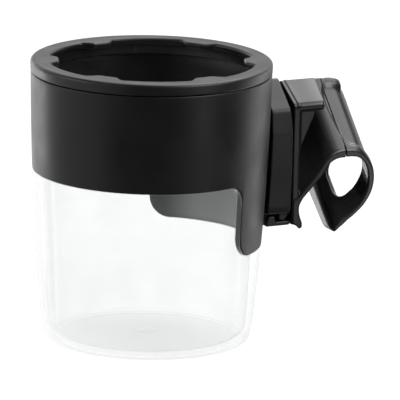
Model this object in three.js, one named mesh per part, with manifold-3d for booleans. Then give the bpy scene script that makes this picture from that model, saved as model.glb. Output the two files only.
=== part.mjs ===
// Clip-on cup holder: a tapered clear cup in a black collar, hung by a mount block on a hook
// clip that snaps over an inclined round frame tube. Millimetres, +Z up.
// Origin: centre of the cup's base. +X: from the cup axis out through the mount block.
// "Near" is the -Y end of the clip, "far" the +Y end; "inner" is towards the cup axis.
import * as THREE from "three";
import { mergeVertices } from "three/addons/utils/BufferGeometryUtils.js";
import Module from "manifold-3d";

const wasm = await Module();
wasm.setup();
const { lerp, mapLinear, smoothstep } = THREE.MathUtils;

// ---------------------------------------------------------------- driving dimensions
// outer wall of the cup and collar: [height, radius]
const WALL = [
  [0, 39.6],
  [8, 40.4],
  [25, 42.15],
  [45, 43.7],
  [63, 44.75],
  [85, 45.45],
  [105, 46.0],
];
const CLEAR = 0.3; // running gap between neighbouring pieces

const CUP_RIM_Z = 103.5;
const CUP_RIM_BEVEL = 0.5; // height of the rim's chamfers
const CUP_FLOOR = 2.4; // floor thickness
const CUP_BASE_TOP_Z = 8; // the rounded base ends here
const CUP_THICK_Z = 36; // the wall has its full thickness from here up
const CUP_WALL_LOW = 2.7; // wall thickness near the floor
const CUP_WALL_HIGH = 3.8; // outer surface of the collar to the inside of the cup
const DIMPLE_R = 3.4; // round dimple in the middle of the floor
const DIMPLE_DEPTH = 0.4;

const COLLAR_T = 2.2;
const COLLAR_TOP_Z = 103.7;
const COLLAR_LOW_Z = 65.9; // lower edge away from the lobe
const LOBE_LOW_Z = 37.3; // lower edge of the lobe behind the mount block
const LOBE_HALF_ARC = 49.2; // half width of the lobe along the wall
const LOBE_SIDE_RUN = 0.3; // arc length over which the lobe's steep side rises
const LOBE_CORNER_R = 8.4; // convex lower corners
const LOBE_FILLET_R = 6.0; // concave upper corners
const ARC_R = 44.2; // wall radius that turns arc lengths into angles

const RING_TOP_Z = 108.4;
const RING_IN_R = 39.3;
const RING_LIP_Z = 105.9;
const RING_SKIRT_Z = 101.9;
const RING_SKIRT_IN_R = 40.8;
const NUB_COUNT = 6;
const NUB_DEPTH = 4.0;
const NUB_HALF_DEG = 5.2; // half width of a nub's flat
const NUB_BLEND_DEG = 6.2; // width of a nub's shoulder
const NUB_PHASE_DEG = 37;

const BLOCK_IN_X = 45.7;
const BLOCK_OUT_X = 54.3;
const BLOCK_HALF_W = 13.2;
const BLOCK_LOW_Z = 46.4;
const BLOCK_EAVE_Z = 87.0;
const BLOCK_RIDGE_Z = 97.2;
const KEEPER_LOW_Z = 43.6;
const KEEPER_IN_X = 49.9;
const KEEPER_HALF_W = 11.6;
const NECK_HALF_W = 10.8;
const NECK_Z = [49, 87];

const RAIL_LOW_Z = 52;
const RAIL_TOP_Z = 87.4;
const RAIL_STEM_HALF = 3.0;
const RAIL_HEAD_HALF = 5.5;
const RAIL_HEAD_X = [46.5, 49.55];
const SLOT_TOP_Z = 88.6;

const SCREW_R = 1.25;
const SCREW_HEAD_R = 2.1;
const SCREW_HOLE_R = SCREW_R + CLEAR;
const SCREW_HEAD_HOLE_R = SCREW_HEAD_R + CLEAR;
// distances along the screw from the face of its head
const BLOCK_SCREW = { headEnd: 0.95, shankEnd: 6.3, tip: 7.6 };
const RAIL_SCREW = { headEnd: 1.1, shankEnd: 7.0, tip: 8.1 };
const BLOCK_SCREW_Y = 8.2;
const BLOCK_SCREW_Z = [58, 82];
const BLOCK_SEAT_DEPTH = 0.75; // seat under the head, below the collar's outer surface
const RAIL_SCREW_Z = [72, 83];

const CLIP_X = [55.0, 58.0]; // mounting plate of the clip
const CLIP_Y = [-12.5, 11.5]; // end planes of the clip and its channel
const [NEAR_Y, FAR_Y] = CLIP_Y;
const CLIP_LOW_Z = 41.6;
const CLIP_HEAD_X = 70.3;
const CLIP_HEAD_RIDGE_Z = 95.8;
const CLIP_HEAD_EDGE_Z = 89.0;
const CLIP_EAVE_LOW_Z = 86.2; // underside of the roof's eaves
const ROOF_IN_X = 57; // roof and ribs start inside the mounting plate
const RIBS_Y = [2.6, 12];
const RIB_GAP_Y = [4.8, 9.2];
const GUSSET_Y = [-12.2, -10.0];

const CHANNEL_RISE = 1; // rise of the hook's channel in z per unit of y: 45 degrees
const FLANGE = 2.2; // raised rim at each end of the hook's outside
const RECESS_END = 1; // the recess outline reaches this close to each end plane
const SEAM_X = 77.9; // where the springy jaw begins, at the hook's crown
const FAR_RIM_X = 86.6; // the far rim stops here
const TOE_Z = 37.2; // lowest point of the toe on the lower arm
const WINDOW_Y = [-6.8, 6.0]; // opening through the lower arm
const PAD_INSET = 2.5; // soft pads to the end planes
const TONGUE_HALF_W = 11.4;

const WALL_COLUMNS = 60;
const RING_COLUMNS = 84;
const SCREW_SIDES = 12;
const CORNER_STEPS = 3; // segments in a rounded corner

// ---------------------------------------------------------------- geometry helpers
function wallR(z) {
  let i = 1;
  while (i < WALL.length - 1 && z > WALL[i][0]) i++;
  const [z0, r0] = WALL[i - 1];
  const [z1, r1] = WALL[i];
  return mapLinear(z, z0, z1, r0, r1);
}

const evenAngles = (count) => Array.from({ length: count }, (_, i) => (i / count) * 2 * Math.PI);

// A closed three.js geometry as a manifold-3d solid with its faces pointing out.
function solid(geometry) {
  geometry.deleteAttribute("normal");
  geometry.deleteAttribute("uv");
  const merged = mergeVertices(geometry, 1e-4);
  const index = merged.index.array;
  const triangles = [];
  const flipped = [];
  for (let i = 0; i < index.length; i += 3) {
    const [a, b, c] = index.slice(i, i + 3);
    if (a === b || b === c || a === c) continue;
    triangles.push(a, b, c);
    flipped.push(b, a, c);
  }
  const make = (corners) =>
    new wasm.Manifold(
      new wasm.Mesh({
        numProp: 3,
        vertProperties: new Float32Array(merged.attributes.position.array),
        triVerts: new Uint32Array(corners),
      }),
    );
  const made = make(triangles);
  return made.volume() > 0 ? made : make(flipped);
}

function geometryOf(made) {
  const mesh = made.getMesh();
  const geometry = new THREE.BufferGeometry();
  const positions = new Float32Array(mesh.vertProperties);
  geometry.setAttribute("position", new THREE.BufferAttribute(positions, 3));
  geometry.setIndex(new THREE.BufferAttribute(new Uint32Array(mesh.triVerts), 1));
  geometry.computeVertexNormals();
  return geometry;
}

// Rounds the corners of a polygon: each point is [u, v] or [u, v, radius].
function rounded(points) {
  const count = points.length;
  const pointAt = (i) => new THREE.Vector2(points[i % count][0], points[i % count][1]);
  return points.flatMap(([u, v, radius], i) => {
    if (!radius) return [[u, v]];
    const corner = new THREE.Vector2(u, v);
    const before = pointAt(i + count - 1).sub(corner);
    const after = pointAt(i + 1).sub(corner);
    const cut = Math.min(
      radius / Math.tan(before.angleTo(after) / 2),
      before.length() * 0.49,
      after.length() * 0.49,
    );
    const start = before.setLength(cut).add(corner);
    const end = after.setLength(cut).add(corner);
    const curve = new THREE.QuadraticBezierCurve(start, corner, end);
    return curve.getPoints(CORNER_STEPS).map((point) => point.toArray());
  });
}

// Outline with a ridge on y = 0: its -Y side going up, the ridge point, then the mirror image.
const gabled = (side, ridge) => [
  ...side,
  ridge,
  ...[...side].reverse().map(([y, z, radius]) => [-y, z, radius]),
];

function extruded(points, depth, matrix) {
  const shape = new THREE.Shape(points.map(([u, v]) => new THREE.Vector2(u, v)));
  const options = { depth, bevelEnabled: false, curveSegments: 1 };
  return solid(new THREE.ExtrudeGeometry(shape, options).applyMatrix4(matrix));
}

// [x, z] outline swept from y0 to y1; rise is in z per unit of y, counted from the near end
function alongY(points, [y0, y1], rise = 0) {
  const shift = rise * (y0 - NEAR_Y);
  const matrix = new THREE.Matrix4().set(1, 0, 0, 0, 0, 0, 1, y0, 0, 1, rise, shift, 0, 0, 0, 1);
  return extruded(points, y1 - y0, matrix);
}
// [x, z] outline in the near end plane, swept up along the hook's channel
const alongChannel = (points, span = CLIP_Y) => alongY(points, span, CHANNEL_RISE);
// [y, z] outline swept from x0 to x1
function alongX(points, [x0, x1]) {
  const matrix = new THREE.Matrix4().set(0, 0, 1, x0, 1, 0, 0, 0, 0, 1, 0, 0, 0, 0, 0, 1);
  return extruded(points, x1 - x0, matrix);
}
// [x, y] outline swept from z0 to z1
const alongZ = (points, [z0, z1]) =>
  extruded(points, z1 - z0, new THREE.Matrix4().makeTranslation(0, 0, z0));

const box = ([x0, x1], [y0, y1], [z0, z1]) =>
  solid(
    new THREE.BoxGeometry(x1 - x0, y1 - y0, z1 - z0).translate(
      (x0 + x1) / 2,
      (y0 + y1) / 2,
      (z0 + z1) / 2,
    ),
  );
const rodX = (radius, [x0, x1], y, z) =>
  solid(
    new THREE.CylinderGeometry(radius, radius, x1 - x0, SCREW_SIDES)
      .rotateZ(Math.PI / 2)
      .translate((x0 + x1) / 2, y, z),
  );

// Turns a profile round the Z axis where the profile may change with the angle.
// profileAt(angle) gives [radius, z] points, always the same number. closed: the profile is a
// loop; otherwise both of its ends lie on the axis.
function turned(angles, profileAt, closed) {
  const positions = [];
  const triangles = [];
  const rows = profileAt(angles[0]).length;
  for (const angle of angles)
    for (const [r, z] of profileAt(angle))
      positions.push(r * Math.cos(angle), r * Math.sin(angle), z);
  const links = closed ? rows : rows - 1;
  for (let i = 0; i < angles.length; i++)
    for (let j = 0; j < links; j++) {
      const here = i * rows;
      const next = ((i + 1) % angles.length) * rows;
      const above = (j + 1) % rows;
      triangles.push(here + j, next + j, next + above);
      triangles.push(here + j, next + above, here + above);
    }
  const geometry = new THREE.BufferGeometry();
  geometry.setAttribute("position", new THREE.BufferAttribute(new Float32Array(positions), 3));
  geometry.setIndex(triangles);
  return solid(geometry);
}

// ---------------------------------------------------------------- collar's lower edge
const LOBE_SIDE_END = LOBE_HALF_ARC + LOBE_SIDE_RUN;

// height of the collar's lower edge at an angle from +X, between -PI and PI
function collarEdge(angle) {
  const arc = Math.abs(angle) * ARC_R;
  const cornerStart = LOBE_HALF_ARC - LOBE_CORNER_R;
  const sideLow = LOBE_LOW_Z + LOBE_CORNER_R;
  const sideHigh = COLLAR_LOW_Z - LOBE_FILLET_R;
  const circle = (radius, offset) => Math.sqrt(Math.max(0, radius ** 2 - offset ** 2));

  if (arc <= cornerStart) return LOBE_LOW_Z;
  if (arc <= LOBE_HALF_ARC) return sideLow - circle(LOBE_CORNER_R, arc - cornerStart);
  if (arc <= LOBE_SIDE_END)
    return sideLow + ((sideHigh - sideLow) * (arc - LOBE_HALF_ARC)) / LOBE_SIDE_RUN;
  const filletEnd = LOBE_SIDE_END + LOBE_FILLET_R;
  if (arc <= filletEnd) return sideHigh + circle(LOBE_FILLET_R, filletEnd - arc);
  return COLLAR_LOW_Z;
}

// Columns round the wall: even ones, and closer ones along each side of the lobe.
function wallColumns() {
  const lobeAngles = [
    ...[1, 0.5, 0.13, 0].map((t) => LOBE_HALF_ARC - LOBE_CORNER_R * t),
    ...[0, 0.13, 0.5, 1].map((t) => LOBE_SIDE_END + LOBE_FILLET_R * t),
  ].map((arc) => arc / ARC_R);
  const margin = 0.04; // no even column comes this close to the closer ones
  const low = lobeAngles[0] - margin;
  const high = lobeAngles.at(-1) + margin;
  const even = evenAngles(WALL_COLUMNS)
    .map((angle) => (angle > Math.PI ? angle - 2 * Math.PI : angle))
    .filter((angle) => Math.abs(angle) <= low || Math.abs(angle) >= high);
  return [...even, ...lobeAngles, ...lobeAngles.map((angle) => -angle)].sort((p, q) => p - q);
}
const wallAngles = wallColumns();

// ---------------------------------------------------------------- cup
function makeCup() {
  const sleeve = COLLAR_T + CLEAR; // the wall steps in by this much behind the collar
  const bevelZ = CUP_RIM_Z - CUP_RIM_BEVEL;
  const thickness = (z) =>
    lerp(CUP_WALL_LOW, CUP_WALL_HIGH, smoothstep(z, CUP_BASE_TOP_Z, CUP_THICK_Z));

  const profileAt = (angle) => {
    const edge = collarEdge(angle) - CLEAR;
    const outside = [0.34, 0.67, 1].map((t) => lerp(CUP_BASE_TOP_Z, edge, t));
    const sleeved = [0, 0.4, 1].map((t) => lerp(edge, bevelZ, t));
    const inside = [bevelZ, 70, CUP_THICK_Z, 22, CUP_BASE_TOP_Z];
    return [
      [0, 0],
      [37.6, 0],
      [39.0, 0.7],
      [39.9, 2.4],
      [wallR(CUP_BASE_TOP_Z), CUP_BASE_TOP_Z],
      ...outside.map((z) => [wallR(z), z]),
      ...sleeved.map((z) => [wallR(z) - sleeve, z]),
      [wallR(CUP_RIM_Z) - sleeve - 0.35, CUP_RIM_Z],
      [wallR(CUP_RIM_Z) - CUP_WALL_HIGH + 0.3, CUP_RIM_Z],
      ...inside.map((z) => [wallR(z) - thickness(z), z]),
      [36.4, 3.7],
      [34.9, CUP_FLOOR + 0.1],
      [DIMPLE_R + 0.3, CUP_FLOOR],
      [DIMPLE_R, CUP_FLOOR - DIMPLE_DEPTH],
      [0, CUP_FLOOR - DIMPLE_DEPTH],
    ];
  };
  return turned(wallAngles, profileAt, false);
}

// ---------------------------------------------------------------- screws
// Screw with a socket in its head, whose face is at headX; direction is +1 or -1 along X.
function makeScrew({ headEnd, shankEnd, tip }, headX, y, z, direction) {
  const profile = [
    [0, 0.55],
    [0.9, 0.55],
    [1.0, 0.05],
    [SCREW_HEAD_R - 0.3, 0],
    [SCREW_HEAD_R, 0.3],
    [SCREW_HEAD_R, headEnd],
    [SCREW_R, headEnd + 0.2],
    [SCREW_R, shankEnd],
    [0.5, tip],
    [0, tip],
  ].map(([r, h]) => new THREE.Vector2(r, h));
  const lathe = new THREE.LatheGeometry(profile, SCREW_SIDES);
  // the lathe's axis is Y, so it is turned to X
  return solid(lathe.rotateZ((-direction * Math.PI) / 2).translate(headX, y, z));
}

// Screws from inside the collar into the block: low pair first, -Y before +Y.
const blockScrewPlaces = BLOCK_SCREW_Z.flatMap((z) =>
  [-BLOCK_SCREW_Y, BLOCK_SCREW_Y].map((y) => {
    const collarFaceX = Math.sqrt(wallR(z) ** 2 - y ** 2);
    return { y, z, seatX: collarFaceX - BLOCK_SEAT_DEPTH };
  }),
);
const makeBlockScrew = ({ y, z, seatX }) =>
  makeScrew(BLOCK_SCREW, seatX - CLEAR - BLOCK_SCREW.headEnd, y, z, 1);

const makeRailScrew = (z) => makeScrew(RAIL_SCREW, CLIP_X[1], 0, z, -1);

// ---------------------------------------------------------------- collar and ring
function makeCollar() {
  const profileAt = (angle) => {
    const levels = (steps) => steps.map((t) => lerp(collarEdge(angle), COLLAR_TOP_Z, t));
    return [
      ...levels([0, 0.25, 0.5, 0.75, 1]).map((z) => [wallR(z), z]),
      ...levels([1, 0.5, 0]).map((z) => [wallR(z) - COLLAR_T, z]),
    ];
  };
  let collar = turned(wallAngles, profileAt, true);
  for (const { y, z, seatX } of blockScrewPlaces)
    collar = collar
      .subtract(rodX(SCREW_HOLE_R, [38, 48], y, z))
      .subtract(rodX(SCREW_HEAD_HOLE_R, [38, seatX], y, z));
  return collar;
}

// how far the ring's inside is pushed in by its nubs at an angle
function nubDepth(angle) {
  const degrees = THREE.MathUtils.radToDeg(angle) - NUB_PHASE_DEG;
  const pitch = 360 / NUB_COUNT;
  const offset = Math.abs(degrees - Math.round(degrees / pitch) * pitch);
  return NUB_DEPTH * (1 - smoothstep(offset, NUB_HALF_DEG, NUB_HALF_DEG + NUB_BLEND_DEG));
}

function makeGripRing() {
  const seatZ = COLLAR_TOP_Z + CLEAR;
  const profileAt = (angle) => {
    const inR = RING_IN_R - nubDepth(angle);
    return [
      [45.95, seatZ],
      [46.1, 106.9],
      [45.7, 107.9],
      [44.7, RING_TOP_Z],
      [inR + 0.6, RING_TOP_Z],
      [inR, RING_TOP_Z - 0.6],
      [inR, RING_LIP_Z + 0.3],
      [inR + 0.5, RING_LIP_Z],
      [RING_SKIRT_IN_R, RING_LIP_Z],
      [RING_SKIRT_IN_R, RING_SKIRT_Z],
      [41.7, RING_SKIRT_Z],
      [41.8, seatZ],
    ];
  };
  return turned(evenAngles(RING_COLUMNS), profileAt, true);
}

// ---------------------------------------------------------------- mount block
// the room taken by the collar, with its clearance
function makeCollarSpace() {
  const stations = [30, 63, 100];
  const profile = [
    [0, 30],
    ...stations.map((z) => [wallR(z) + CLEAR + 0.05, z]),
    [0, 100],
  ];
  return turned(evenAngles(WALL_COLUMNS), () => profile, false);
}

function makeBlockShell() {
  const side = [
    [-BLOCK_HALF_W + 0.4, BLOCK_LOW_Z, 0.8],
    [-BLOCK_HALF_W - 0.1, BLOCK_LOW_Z + 3],
    [-BLOCK_HALF_W - 0.7, 64],
    [-BLOCK_HALF_W - 0.5, 78],
    [-12.1, BLOCK_EAVE_Z, 1.2],
  ];
  const outline = rounded(gabled(side, [0, BLOCK_RIDGE_Z, 2.5]));
  // the inner face follows the collar's taper and stands off its sides
  const innerCut = [
    [30, 40],
    [43.9, 40],
    [BLOCK_IN_X, 90],
    [BLOCK_IN_X, 100],
    [30, 100],
  ];
  return alongX(outline, [40, BLOCK_OUT_X]).subtract(alongY(innerCut, [-20, 20]));
}

// narrower part that reaches in to the collar
function makeNeck() {
  const [low, high] = NECK_Z;
  const outline = [
    [-NECK_HALF_W, low, 2],
    [-NECK_HALF_W, high, 2],
    [NECK_HALF_W, high, 2],
    [NECK_HALF_W, low, 2],
  ];
  return alongX(rounded(outline), [40, 47]);
}

// lip under the block's outer wall
function makeKeeper() {
  const outline = [
    [KEEPER_IN_X, BLOCK_LOW_Z + 1],
    [KEEPER_IN_X, KEEPER_LOW_Z + 0.3, 0.3],
    [51.2, KEEPER_LOW_Z, 0.4],
    [52.7, KEEPER_LOW_Z + 0.3, 0.4],
    [BLOCK_OUT_X - 0.1, BLOCK_LOW_Z - 0.3],
    [BLOCK_OUT_X, BLOCK_LOW_Z + 1],
  ];
  return alongY(rounded(outline), [-KEEPER_HALF_W, KEEPER_HALF_W]);
}

function makeBlock() {
  const slotZ = [40, SLOT_TOP_Z]; // open below
  const headHalf = RAIL_HEAD_HALF + CLEAR;
  const stemHalf = RAIL_STEM_HALF + CLEAR;
  const headX = [RAIL_HEAD_X[0] - CLEAR, RAIL_HEAD_X[1] + CLEAR];
  let block = makeBlockShell()
    .add(makeNeck())
    .subtract(makeCollarSpace())
    .add(makeKeeper())
    .subtract(box(headX, [-headHalf, headHalf], slotZ))
    .subtract(box([49, 60], [-stemHalf, stemHalf], slotZ));
  for (const { y, z } of blockScrewPlaces)
    block = block.subtract(rodX(SCREW_HOLE_R, [40, 51.2], y, z));
  return block;
}

// ---------------------------------------------------------------- slide rail
function makeRail() {
  const [headIn, headOut] = RAIL_HEAD_X;
  const stem = box(
    [headOut - 0.3, CLIP_X[0] - CLEAR],
    [-RAIL_STEM_HALF, RAIL_STEM_HALF],
    [RAIL_LOW_Z, RAIL_TOP_Z],
  );
  const headOutline = [
    [headIn, RAIL_LOW_Z + 1.2],
    [headIn + 0.8, RAIL_LOW_Z],
    [headOut, RAIL_LOW_Z],
    [headOut, RAIL_TOP_Z],
    [headIn + 1.2, RAIL_TOP_Z],
    [headIn, RAIL_TOP_Z - 1.4],
  ];
  let rail = stem.add(alongY(headOutline, [-RAIL_HEAD_HALF, RAIL_HEAD_HALF]));
  for (const z of RAIL_SCREW_Z) rail = rail.subtract(rodX(SCREW_HOLE_R, [48.4, 56], 0, z));
  return rail;
}

// ---------------------------------------------------------------- outlines of the hook
// [x, z] in the near end plane. The fixed wall is on the cup side of the seam, the jaw beyond.
const FIXED_OUT = [
  [SEAM_X, 69.2], [74.45, 68.75], [71.6, 67.6], [69.4, 65.7], [67.6, 63.2],
  [65.2, 60.4], [60.0, 54.9], [57.4, 52.0], [56.2, 49.6],
];
const FIXED_IN = [
  [57.6, 46.0], [58.3, 48.6], [60.0, 51.45], [67.6, 59.5], [69.2, 62.3],
  [70.9, 64.1], [73.1, 65.4], [75.4, 66.0], [SEAM_X, 66.05],
];
const JAW_IN = [
  [SEAM_X + CLEAR, 66.05], [82.0, 65.9], [84.1, 65.1], [86.0, 63.3], [87.3, 60.6],
  [87.8, 57.6], [87.8, 54.5], [86.8, 51.6], [84.6, 48.1], [81.8, 45.5],
  [78.4, 42.85], [75.6, 40.9], [74.9, 40.1],
];
// underside of the lower arm, outwards from the toe
const ARM_UNDERSIDE = [[76.2, 39.0], [79.0, 40.8], [82.5, 43.2], [86.4, 46.6]];
const JAW_OUT = [
  [72.4, 37.7], [73.2, 37.15], [74.3, 37.5],
  ...ARM_UNDERSIDE,
  [88.9, 50.2], [90.2, 53.5], [90.6, 56.9], [90.3, 60.0], [89.3, 62.7],
  [87.9, 64.9], [86.1, 66.8], [84.1, 68.2], [82.0, 69.0], [SEAM_X + CLEAR, 69.2],
];
// floor of the recess down the outside of the jaw, closed through the space beyond
const RECESS_SIDE = [
  [87.4, 64.4], [88.5, 62.4], [89.3, 59.6], [89.5, 56.9], [89.1, 53.9], [87.9, 50.9],
  [85.6, 47.6], [83.6, 45.8], [86, 42], [97, 44], [97, 75],
];
// floor of the recess over the crown
const RECESS_CROWN = [
  [73.5, 75], [73.5, 67.9], [77, 68.1], [82.0, 67.9], [84.0, 67.4], [85.9, 66.1],
];
// the recess seen from above, [x, y]
const RECESS_PLAN = [
  [97, NEAR_Y + FLANGE], [97, FAR_Y - FLANGE], [79.0, FAR_Y - FLANGE],
  [77.6, FAR_Y - FLANGE - 0.4], [76.6, FAR_Y - FLANGE - 1.7],
  [75.95, 5.5], [75.8, 3.5], [76.0, 1], [76.4, -1.5], [76.9, -4.5], [77.4, -6.8], [78.3, -8.9],
  [79.6, NEAR_Y + FLANGE + 0.3], [81.2, NEAR_Y + FLANGE],
];

// shallow recess over the crown and the outside of the jaw, between its two end rims
const recess = alongChannel(
  [...RECESS_CROWN, ...RECESS_SIDE],
  [NEAR_Y + RECESS_END, FAR_Y - RECESS_END],
).intersect(alongZ(RECESS_PLAN, [30, 110]));

// ---------------------------------------------------------------- clip body
function makePlate() {
  const outline = [
    [NEAR_Y, CLIP_LOW_Z, 0.8],
    [FAR_Y, CLIP_LOW_Z, 0.8],
    [FAR_Y, CLIP_HEAD_EDGE_Z - 1.5],
    [11.9, CLIP_HEAD_EDGE_Z - 0.2, 1],
    [0, CLIP_HEAD_RIDGE_Z, 2],
    [-11.9, CLIP_HEAD_EDGE_Z - 0.2, 1],
    [NEAR_Y, CLIP_HEAD_EDGE_Z - 1.5],
  ];
  return alongX(rounded(outline), CLIP_X);
}

// gabled roof of the head
function makeRoof() {
  const side = [
    [-12.2, CLIP_EAVE_LOW_Z, 0.5],
    [-12.5, 87.6],
    [-12.0, CLIP_HEAD_EDGE_Z, 0.8],
  ];
  const outline = [
    ...gabled(side, [0, CLIP_HEAD_RIDGE_Z, 2]),
    [10.4, CLIP_EAVE_LOW_Z, 0.5],
    [0, CLIP_HEAD_RIDGE_Z - 3.2, 2],
    [-10.4, CLIP_EAVE_LOW_Z, 0.5],
  ];
  // its outer end draws in towards the near eave
  const endCut = [
    [CLIP_HEAD_X, 0],
    [CLIP_HEAD_X - 1.9, -12.6],
    [CLIP_HEAD_X - 1.9, -14],
    [CLIP_HEAD_X + 5, -14],
    [CLIP_HEAD_X + 5, 0],
  ];
  return alongX(rounded(outline), [ROOF_IN_X, CLIP_HEAD_X]).subtract(alongZ(endCut, [80, 100]));
}

// flared foot of the hook's fixed wall
const FOOT = [
  [55.6, 41.9],
  [57.2, 40.6],
  [58.2, 39.6, 0.4],
  [59.5, 39.7, 0.5],
  [59.6, 41.2, 0.4],
  [58.5, 44.4],
  [57.6, 46.0],
  [57.2, 50.5],
  [55.6, 50.5],
];

// two ribs that carry the hook from the head, on the far side
function makeRibs() {
  const [ribsNear, ribsFar] = RIBS_Y;
  const underRoof = alongX(
    [
      [ribsNear, 60],
      [ribsFar, 60],
      [ribsFar, CLIP_HEAD_EDGE_Z - 1.2],
      [ribsNear, CLIP_HEAD_RIDGE_Z - 3.0],
    ],
    [ROOF_IN_X, CLIP_HEAD_X - 0.2],
  );
  // everything below the middle of the hook's wall, so that the ribs run into the wall
  const wallMiddle = FIXED_OUT.slice(0, 8).map(([x, z]) => [x + 0.35, z - 1.25]);
  const hookSpace = alongChannel(
    [...wallMiddle, [56, 48], [56, 20], [95, 20], [95, 67.95]],
    [NEAR_Y - 1, FAR_Y + 1],
  );
  const pieces = underRoof
    .subtract(box([59.2, 80], RIB_GAP_Y, [50, 110]))
    .subtract(hookSpace)
    .decompose();
  // only the largest piece belongs above the hook
  return pieces.sort((p, q) => q.volume() - p.volume())[0];
}

// gusset under the near side of the head, [x, z]
const GUSSET = [
  [57.5, 87.2],
  [64.2, 87.2],
  [63.3, 83.0],
  [57.5, 69.5],
];

function makeClipBody() {
  const headSeatX = CLIP_X[1] - RAIL_SCREW.headEnd - CLEAR;
  let clip = makePlate()
    .add(makeRoof())
    .add(alongChannel([...FIXED_OUT, ...FIXED_IN]))
    .add(alongChannel(rounded(FOOT)))
    .add(makeRibs())
    .add(alongY(GUSSET, GUSSET_Y))
    .subtract(box([50, 95], [FAR_Y, 20], [30, 110])); // flush with the far end plane
  for (const z of RAIL_SCREW_Z)
    clip = clip
      .subtract(rodX(SCREW_HOLE_R, [53, 60], 0, z))
      .subtract(rodX(SCREW_HEAD_HOLE_R, [headSeatX, 60.5], 0, z));
  return clip.subtract(recess);
}

// ---------------------------------------------------------------- springy jaw of the hook
// deep toe at the tip of the lower arm; its underside keeps above the near end's outline
function makeToe() {
  const toe = [
    [72.5, 38.6], [72.5, 30.4], [73.4, 29.5], [76.0, 31.2],
    [78.4, 37.0], [79.4, 41.4], [77.6, 40.9], [75.2, 39.6],
  ];
  const aboveArm = [
    [70, TOE_Z],
    [74.3, TOE_Z + 0.2],
    ...ARM_UNDERSIDE,
    [90, 51],
    [90, 80],
    [70, 80],
  ];
  return alongChannel(toe).intersect(alongY(aboveArm, CLIP_Y));
}

function makeJaw() {
  // the far rim only crosses the top
  const farRimCut = [[FAR_RIM_X, 75], [FAR_RIM_X, 65.3], ...RECESS_SIDE];
  const farRim = [
    [80.5, 67.0],
    [84.5, 66.2],
    [FAR_RIM_X - 0.2, 65.0],
    [FAR_RIM_X, 65.6],
    [FAR_RIM_X, 67.2],
    [FAR_RIM_X - 0.5, 67.8],
    [84.4, 68.65],
    [82.0, 69.0],
    [80.5, 69.05],
  ];
  const armWindow = [[74.8, 43.2], [80, 50], [83, 60], [95, 60], [95, 34], [88.6, 34]];
  return alongChannel([...JAW_IN, ...JAW_OUT])
    .add(makeToe())
    .subtract(recess)
    .subtract(alongChannel(farRimCut, [FAR_Y - FLANGE - 0.2, FAR_Y + 1]))
    .add(alongChannel(farRim, [FAR_Y - FLANGE, FAR_Y]))
    .subtract(alongChannel(armWindow, WINDOW_Y));
}

// ---------------------------------------------------------------- latch tongue under the block
function makeTongue() {
  const outline = [
    [54.7, 41.5, 0.2],
    [54.7, 43.1, 0.2],
    [48.9, 43.1, 0.3],
    [48.5, 45.3, 0.4],
    [45.6, 45.3, 0.8],
    [44.75, 43.0, 0.4],
    [44.75, 41.4, 0.4],
  ];
  return alongY(rounded(outline), [-TONGUE_HALF_W, TONGUE_HALF_W]);
}

// ---------------------------------------------------------------- soft pads inside the hook
const SADDLE_PAD = [[61.05, 52.15], [66.75, 58.2], [67.45, 57.55], [61.75, 51.5]];
const CROWN_PAD = [[74.0, 65.3], [77.3, 65.7], [77.3, 64.9], [74.15, 64.5]];
const makePad = (outline) => alongChannel(outline, [NEAR_Y + PAD_INSET, FAR_Y - PAD_INSET]);

// ---------------------------------------------------------------- materials
const finish = (options) => new THREE.MeshStandardMaterial(options);
const clearPlastic = finish({ color: 0xeef3f2, roughness: 0.08, transparent: true, opacity: 0.3 });
const mattBlack = finish({ color: 0x1d1d1f, roughness: 0.55 });
const softBlack = finish({ color: 0x242526, roughness: 0.75 });
const glossBlack = finish({ color: 0x141415, roughness: 0.32 });
const nylonBlack = finish({ color: 0x18181a, roughness: 0.45 });
const padGrey = finish({ color: 0x2b2c2e, roughness: 0.85 });
const steel = finish({ color: 0xb4b6b8, roughness: 0.35, metalness: 1 });
for (const material of [clearPlastic, mattBlack, softBlack, glossBlack, nylonBlack, padGrey])
  material.metalness = 0;

// ---------------------------------------------------------------- scene graph
const part = new THREE.Group();
const cupGroup = new THREE.Group();
const clipGroup = new THREE.Group();
part.add(cupGroup, clipGroup);

function add(group, name, made, material) {
  const mesh = new THREE.Mesh(geometryOf(made), material);
  mesh.name = name;
  group.add(mesh);
}

add(cupGroup, "clear_cup", makeCup(), clearPlastic);
add(cupGroup, "upper_collar", makeCollar(), mattBlack);
add(cupGroup, "grip_ring", makeGripRing(), softBlack);
add(cupGroup, "mount_block", makeBlock(), nylonBlack);
// left and right as seen from +X, looking at the block
["low_left", "low_right", "high_left", "high_right"].forEach((place, i) =>
  add(cupGroup, `block_screw_${place}`, makeBlockScrew(blockScrewPlaces[i]), steel),
);
add(clipGroup, "slide_rail", makeRail(), nylonBlack);
["low", "high"].forEach((place, i) =>
  add(clipGroup, `rail_screw_${place}`, makeRailScrew(RAIL_SCREW_Z[i]), steel),
);
add(clipGroup, "clip_body", makeClipBody(), glossBlack);
add(clipGroup, "hook_jaw", makeJaw(), glossBlack);
add(clipGroup, "latch_tongue", makeTongue(), nylonBlack);
add(clipGroup, "saddle_pad", makePad(SADDLE_PAD), padGrey);
add(clipGroup, "crown_pad", makePad(CROWN_PAD), padGrey);

export default part;
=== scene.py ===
"""Clip-on cup holder: a clear cup in a dark collar with a soft ring, and a hook clip beside it.

The cup stands on z = 0 about the Z axis. The mount block, rail, clip and hook follow one
another outwards along +X. Lengths are in millimetres and become metres when a mesh is made.
"""
import math

import bmesh
import bpy
import numpy as np
from mathutils import Matrix, Vector


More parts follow.
